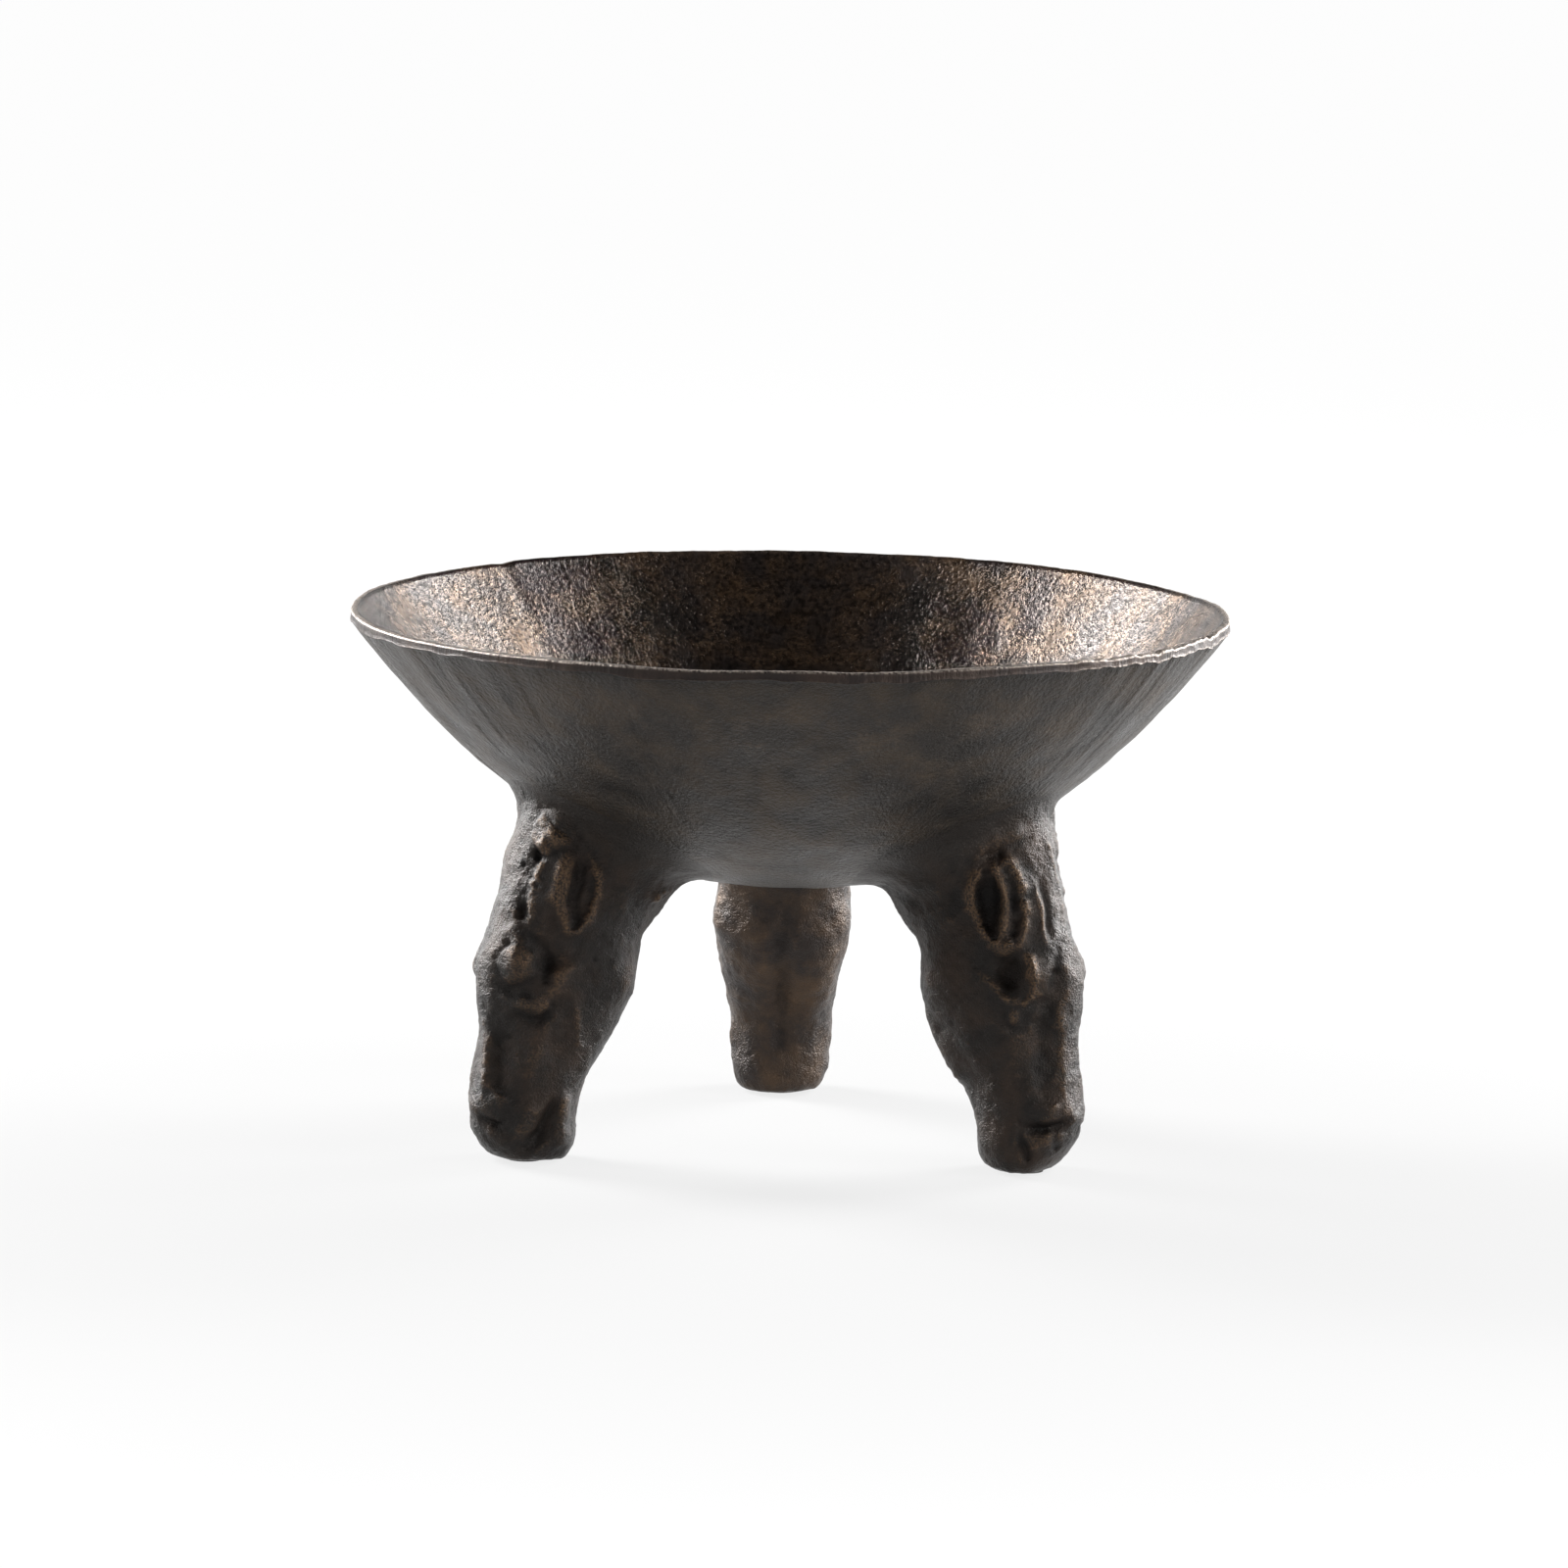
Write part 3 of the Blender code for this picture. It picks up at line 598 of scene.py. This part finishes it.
# Where hands and polishing have rubbed the patina: (outward, side, up, reach in mm, amount).
NEAR_WEAR = [
    [(-3, 22, 140, 7, 1.0), (-3, 22, 125, 6, 0.8)], [(-19, 30, 140, 5, 0.7), (-18, 29, 120, 5, 0.9),
     (-9, 28, 111, 5, 0.6)],
    [(0, 15, 152, 8, 0.8), (5, 15, 130, 6, 0.8), (10, 14, 116, 6, 0.6)], [(20, 8, 88, 5, 0.9),
     (13, 18, 83, 5, 0.7)],
    [(8, 22, 76, 8, 0.6), (2, 26, 80, 6, 0.5)], [(10, 21, 50, 10, 0.55), (3, 24, 42, 9, 0.4)],
    [(24, 4, 26, 9, 0.8), (21, 10, 30, 7, 0.5)], [(-10, 21, 26, 6, 0.7)], [(6, 21, 22, 6, 0.4),
     (12, 17, 12, 6, 0.4)],
    [(-34, 26, 104, 9, 0.5)], [(-12, 29, 68, 7, 0.5)],
]
FAR_WEAR = [
    [(-17, 28, 141, 6, 0.8), (-17, 29, 126, 5, 1.0), (-9, 28, 112, 6, 1.0), (0, 25, 106, 6, 0.9)],
    [(-14, 27, 152, 7, 0.9), (-5, 20, 157, 8, 1.0), (0, 18, 145, 7, 0.9), (4, 17, 126, 6, 0.8)],
    [(9, 20, 100, 5, 1.0), (13, 17, 92, 6, 0.9), (8, 22, 83, 5, 0.8), (-3, 28, 86, 5, 0.6)],
    [(20, 9, 84, 6, 0.6), (20, 8, 60, 6, 0.7), (23, 8, 36, 6, 0.7), (25, 7, 28, 4, 0.9)],
    [(6, 23, 66, 9, 0.5), (4, 23, 46, 9, 0.5)], [(10, 20, 14, 8, 0.5), (20, 11, 14, 6, 0.6)],
    [(-30, 30, 116, 10, 0.45)], [(9, 12, 130, 5, 0.8), (12, 13, 116, 5, 0.8)],
]


def head_surface(along, around):
    """The plain head: smooth curves through the sections, each an oval that is narrower towards the face.
    along runs from 0 at the lips to 1 in the neck, and around is the angle from the face."""
    table = curve_through(HEAD_SECTIONS, 40)
    at, rows = along * (len(table) - 1), np.arange(len(table))
    out, up, lean, face, jaw, cheek = (np.interp(at, rows, column)[:, None] for column in table.T)
    reach = np.where(np.cos(around) > 0, face, jaw) * np.cos(around)
    side = cheek * np.sin(around) * (1 - NOSE_TAPER * np.cos(around))
    lean = np.radians(lean)
    return np.stack([out + reach * np.cos(lean), side, up + reach * np.sin(lean)], -1) * MM


def head_relief(name, points):
    """How far the clay stands out from the plain head, and how far its patina is rubbed away: every stroke,
    at points that noise has shifted so that no edge is drawn with a ruler, and the lumps of hand
    modelling."""
    own, near, far, _ = HEADS[name]
    seed = 100 + 17 * list(HEADS).index(name)
    shake = [(0.011, 0.0012), (0.0045, 0.0006)]
    shift = np.stack([noises(points, shake, seed + 7 * i) for i in range(3)], -1)
    moved = points + shift
    lumps = [(0.015, 0.0008), (0.0065, 0.0005), (0.0028, 0.00026), (0.0015, 0.00012)]
    total = noises(points, lumps, seed + 40)
    rubbed = np.zeros(len(points))
    for form, line in THROAT:
        total += stroke(moved, form, line)
    for side, strength, strokes, wear in ((1, near, NEAR_SIDE, NEAR_WEAR), (-1, far, FAR_SIDE, FAR_WEAR)):
        mirrored = moved * np.array([1, side, 1])
        # One side's strokes fade out just past the middle of the head.
        fade = np.clip((mirrored[:, 1] + 0.013) / 0.009, 0, 1)
        here = fade > 0
        fade = (fade * fade * (3 - 2 * fade))[here]
        for group, share in ((strokes, strength), (BOTH_SIDES, 1), (own if side < 0 else [], 1)):
            for form, line in group:
                reached = stroke(mirrored[here], "soft" if form == "crumbly" else form, line) * fade * share
                if form == "crumbly":
                    reached = reached * noises(moved[here], [(0.0042, 0.7), (0.002, 0.45)], seed + 60)
                total[here] += reached
        for line in wear:
            rubbed[here] = np.maximum(rubbed[here], patch_of_wear(mirrored[here], line) * fade)
    return total, rubbed


def foot_place(name):
    """A leg's azimuth and its foot's distance from the axis, read from its pad."""
    low, high = (np.array(corner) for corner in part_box(f"foot_pad_{name}"))
    x, y, _ = (low + high) / 2
    return math.atan2(y, x), math.hypot(x, y) + 0.001


def stood(grid, azimuth, foot_radius):
    """A leg's own points (outward, side, up) turned and moved to where the leg stands."""
    turn = np.array(Matrix.Rotation(azimuth, 3, "Z"))
    return (grid + np.array([foot_radius, 0, 0])) @ turn.T


def under_bowl(points, foot_radius):
    """The height of the bowl's outside above each of a leg's own points, and its normal there."""
    x, y = points[..., 0] + foot_radius, points[..., 1]
    radius = np.hypot(x, y)
    height, slope = bowl_outside(radius)
    normal = np.stack([slope * x / radius, slope * y / radius, -np.ones_like(x)], -1)
    return height, unit(normal)


LEG_ROWS, LEG_COLUMNS = 376, 260
# The rows that close a neck inside the bowl's wall, as shares of its width there.
CAP_ROWS = (0.8, 0.6, 0.4, 0.2)


def plain_leg():
    """The plain head's grid and its outward normals."""
    along = np.concatenate([np.linspace(0, 0.06, 20)[:-1], np.linspace(0.06, 1, LEG_ROWS - 19)])
    around = np.linspace(0, 2 * np.pi, LEG_COLUMNS, endpoint=False)[None]
    plain = head_surface(along, around)
    normal = grid_normals(plain)
    outward = plain - plain.mean(1, keepdims=True)
    return along, around[0], plain, normal * np.sign(np.sum(normal * outward, -1).mean())


def make_leg(name, materials):
    """A head from lips to neck: the plain surface moved along its normals by the relief, then stood in
    place. The underside of the front lip is raised, so that the head stands on its chin."""
    place = foot_place(name)
    along, _, plain, normal = plain_leg()
    relief, rubbed = head_relief(name, plain.reshape(-1, 3))
    relief, rubbed = relief.reshape(plain.shape[:2]), rubbed.reshape(plain.shape[:2])
    relief = relief * (0.25 + 0.75 * np.clip(along / 0.08, 0, 1)[:, None])
    grid = plain + normal * relief[..., None]
    raised = (relief - blurred(relief, 30)) / 0.0012 + 0.35 * rubbed
    # Lifted most at the front, and less the higher the point already is.
    front = np.clip((grid[..., 0] - 0.008) / 0.017, 0, 1)
    grid[..., 2] += HEADS[name][3] * front**1.3 * np.clip(1 - grid[..., 2] / 0.034, 0, 1) ** 1.5
    # The neck ends inside the bowl's wall, and rows that shrink to its middle close it there.
    middle = grid[-1].mean(0)
    grid = np.concatenate([grid, [middle + (grid[-1] - middle) * share for share in CAP_ROWS]])
    raised = np.pad(raised, ((0, len(CAP_ROWS)), (0, 0)))
    ceiling = under_bowl(grid, place[1])[0] + 0.0015
    ceiling[LEG_ROWS:] = np.minimum(ceiling[LEG_ROWS:], grid[LEG_ROWS:, :, 2])
    grid[..., 2] = np.clip(grid[..., 2], 0.0008, ceiling)
    grid = stood(grid, *place)
    piece_from_grid(f"leg_{name}_cast", grid, f"leg_{name}", materials, raised)


def make_weld(name, materials):
    """The dressed weld in the corner between a neck and the bowl. Round the joint line, each section is a
    cubic Bezier curve that leaves the neck along its surface and meets the bowl along its surface, with
    handles of 4/3 tan(a/4) r, which draw an arc of radius r that turns through a. The radius is small at
    the face and large at the cheeks."""
    azimuth, foot_radius = foot_place(name)
    _, around, plain, normal = plain_leg()
    gap = under_bowl(plain, foot_radius)[0] - plain[..., 2]
    row = np.argmax(gap < 0, axis=0)
    column = np.arange(LEG_COLUMNS)
    below, above = gap[row - 1, column], gap[row, column]
    share = (below / (below - above))[:, None]
    corner = plain[row - 1, column] * (1 - share) + plain[row, column] * share
    down = unit(plain[row - 8, column] - plain[row, column])
    out = normal[row, column]
    bowl_normal = under_bowl(corner, foot_radius)[1]
    out = unit(out - np.sum(out * bowl_normal, -1, keepdims=True) * bowl_normal)
    opening = np.arccos(np.clip(np.sum(down * out, -1), -1, 1))
    radius = (15 + 13 * np.sin(around) ** 2 + 3 * (1 - np.cos(around))) * MM
    reach = radius / np.tan(opening / 2)

    # Where each section leaves the neck: the row that lies reach below the joint along the surface.
    length = np.cumsum(np.linalg.norm(np.diff(plain, axis=0, prepend=plain[:1]), axis=-1), axis=0)
    wanted = length[row, column] - reach
    low_row = np.clip(np.sum(length < wanted, axis=0) - 1, 3, LEG_ROWS - 4)
    row_length = length[low_row + 1, column] - length[low_row, column]
    part = ((wanted - length[low_row, column]) / row_length)[:, None]
    start = plain[low_row, column] * (1 - part) + plain[low_row + 1, column] * part
    leaving = unit(plain[low_row + 3, column] - plain[low_row - 2, column])
    end = corner + reach[:, None] * out
    end[:, 2] = under_bowl(end, foot_radius)[0]
    end_normal = under_bowl(end, foot_radius)[1]
    arriving = corner - end
    arriving = unit(arriving - np.sum(arriving * end_normal, -1, keepdims=True) * end_normal)
    handle = (4 / 3 * np.tan((math.pi - opening) / 4) * radius)[:, None]
    turn = np.linspace(0, 1, 48)[:, None, None]
    arc = ((1 - turn) ** 3 * start + 3 * (1 - turn) ** 2 * turn * (start + handle * leaving)
           + 3 * (1 - turn) * turn**2 * (end + handle * arriving) + turn**3 * end)
    turn = turn[..., 0]

    surface = grid_normals(arc)
    surface *= np.sign(np.sum(surface * (out + down), -1).mean())
    relief, rubbed = head_relief(name, arc.reshape(-1, 3))
    relief, rubbed = relief.reshape(arc.shape[:2]), rubbed.reshape(arc.shape[:2])
    bowl_skin = bowl_lumps(stood(arc, azimuth, foot_radius).reshape(-1, 3)).reshape(arc.shape[:2])
    blend = np.clip((turn - 0.3) / 0.65, 0, 1)
    blend = blend * blend * (3 - 2 * blend)
    moved = relief * (1 - blend) + bowl_skin * blend
    # Both edges are tucked just into the metal.
    tucked = 0.0002 * ((1 - turn) ** 6 + turn**6)
    raised = ((moved - blurred(moved, 8)) / 0.0012 + 0.35 * rubbed) * (1 - blend)
    arc = arc + surface * (moved - tucked)[..., None]

    # Back through the metal: inside the bowl's wall, through the corner, inside the neck.
    hidden = np.stack([arc[-1] - 0.0015 * end_normal, corner - 0.002 * out - 0.002 * down,
                       arc[0] - 0.0015 * normal[low_row, column]])
    grid = stood(np.concatenate([arc, hidden]), azimuth, foot_radius)
    nothing = np.zeros((len(hidden), LEG_COLUMNS))
    piece = piece_from_grid(f"weld_{name}_dressed", grid, f"weld_{name}", materials,
                            np.concatenate([raised, nothing]), ring=True)
    tone = np.broadcast_to(np.clip(turn / 0.8, 0, 1) ** 1.4, moved.shape)
    set_attribute(piece.data, "tone", np.concatenate([tone, nothing]))


# ---------------------------------------------------------------- stage


def make_stage():
    """A pale floor that glows a little, a world that is white at the horizon, soft lights, the camera."""
    mesh = bpy.data.meshes.new("floor")
    mesh.from_pydata([(-15, -10, 0), (15, -10, 0), (15, 20, 0), (-15, 20, 0)], [], [(0, 1, 2, 3)])
    floor = bpy.data.objects.new("floor", mesh)
    bpy.context.scene.collection.objects.link(floor)
    paint = bpy.data.materials.new("pale_floor")
    paint.use_nodes = True
    shader = paint.node_tree.nodes["Principled BSDF"]
    shader.inputs["Base Color"].default_value = (0.05, 0.05, 0.05, 1)
    shader.inputs["Roughness"].default_value = 1
    shader.inputs["Specular IOR Level"].default_value = 0
    shader.inputs["Emission Color"].default_value = (1, 1, 1, 1)
    # It glows a little less under the object than far from it.
    away = add(paint.node_tree, "VectorMath", {0: add(paint.node_tree, "TexCoord").outputs["Object"]},
               operation="LENGTH").outputs["Value"]
    glow = add(paint.node_tree, "MapRange", {"Value": away, "From Min": 0.25, "From Max": 1.3,
                                             "To Min": 0.8, "To Max": 0.97},
               interpolation_type="SMOOTHSTEP")
    paint.node_tree.links.new(glow.outputs[0], shader.inputs["Emission Strength"])
    mesh.materials.append(paint)

    world = bpy.data.worlds.new("studio")
    world.use_nodes = True
    # White around the horizon, as a studio's backdrop is, and dim overhead.
    world.node_tree.nodes["Background"].inputs["Color"].default_value = (1, 1, 1, 1)
    direction = add(world.node_tree, "TexCoord").outputs["Generated"]
    up = add(world.node_tree, "SeparateXYZ", {0: direction}).outputs["Z"]
    glow = add(world.node_tree, "MapRange", {"Value": up, "From Min": 0.15, "From Max": 0.6, "To Min": 1.0,
                                             "To Max": 0.07}, interpolation_type="SMOOTHSTEP")
    world.node_tree.links.new(glow.outputs[0], world.node_tree.nodes["Background"].inputs["Strength"])
    bpy.context.scene.world = world
    bpy.context.scene.view_settings.view_transform = "Standard"

    target = Vector((0, 0, 0.15))
    for name, place, width, height, power in (
        ("left_softbox", (-1.5, 0.95, 1.0), 0.7, 1.1, 150),
        ("right_softbox", (1.45, 1.1, 1.0), 0.7, 1.1, 95),
        ("left_side_light", (-2.0, -0.15, 0.75), 0.9, 1.1, 18),
        ("right_side_light", (1.95, -0.55, 0.8), 0.9, 1.1, 40),
        ("right_low_light", (1.7, 0.95, 0.35), 0.6, 0.7, 24),
    ):
        data = bpy.data.lights.new(name, "AREA")
        data.shape = "RECTANGLE"
        data.size, data.size_y = width, height
        data.energy = power
        lamp = bpy.data.objects.new(name, data)
        lamp.location = place
        lamp.rotation_euler = (target - Vector(place)).to_track_quat("-Z", "Y").to_euler()
        bpy.context.scene.collection.objects.link(lamp)

    target = Vector((0, 0, 0.125))
    data = bpy.data.cameras.new("camera")
    data.lens = 297.6
    data.sensor_width = 36
    data.shift_y = 0.0569
    data.clip_end = 100
    camera = bpy.data.objects.new("camera", data)
    elevation, roll, distance = math.radians(9), math.radians(1.4), 6.0
    camera.location = target + Vector((0, -math.cos(elevation), math.sin(elevation))) * distance
    camera.rotation_euler = (
        (target - camera.location).to_track_quat("-Z", "Y").to_matrix() @ Matrix.Rotation(roll, 3, "Z")
    ).to_euler()
    bpy.context.scene.collection.objects.link(camera)
    bpy.context.scene.camera = camera


def main():
    make_stage()
    # Streaks: their width in mm, how far they are drawn out, and their strength beside the grain's.
    # The outside: satin, with the mould's leathery grain and streaks down the slope.
    satin = bronze("sand_cast_bronze_outside", "#2f2b28", "#3f362d", "#5f5246", 0.32, 2.0, 1.3,
                   streaks=(3.6, 0.3, 0.5), wear=0.4)
    # The inside: glossy pebbles that sparkle, a few of them golden.
    pebbled = bronze("sand_cast_bronze_inside", "#322b28", "#483727", "#8a7050", 0.23, 2.3, 0.58,
                     pebbles=0.08, wear=0.1)
    # The rim: bare metal along its edges, with cut marks down the band. Its rows add a painted highlight on
    # the top edge and the burr, and painted shade on the band.
    cut_rim = bronze("cut_bronze_rim", "#2a2422", "#3b302a", "#958a80", 0.42, 1.2, 0.3,
                     streaks=(2.2, 0.03, 1.6), wear=0.9)
    # The heads: nearly black, with brown edges where hands rub them, and browner and lighter all over at the
    # back. That extra lightness is painted light, standing in for the floor's light on the leg under the
    # bowl.
    modelled = bronze("modelled_bronze", "#1e1b19", "#2e251f", "#7a5f45", 0.34, 1.0, 0.75, wear=0.38)
    back_head_painted_lighter = bronze("modelled_bronze_painted_lighter", "#2b2522", "#44362a", "#7a5f45", 0.36, 1.0, 0.7, wear=0.4)
    # The welds: like the heads at the neck, and like the outside of the bowl further up.
    dressed = bronze("dressed_bronze_weld", "#1e1b19", "#2e251f", "#7a5f45", 0.36, 1.1, 0.8, wear=0.38,
                     towards="#2f2b28")
    pad = rubber()
    make_bowl([pebbled, cut_rim, satin])
    for name in HEADS:
        # The back head takes the lighter copy of the bronze, whose lightness is painted light.
        make_leg(name, [back_head_painted_lighter if name == "back" else modelled])
        make_weld(name, [dressed])
        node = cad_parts[f"foot_pad_{name}"]
        node.data.materials.clear()
        node.data.materials.append(pad)


main()
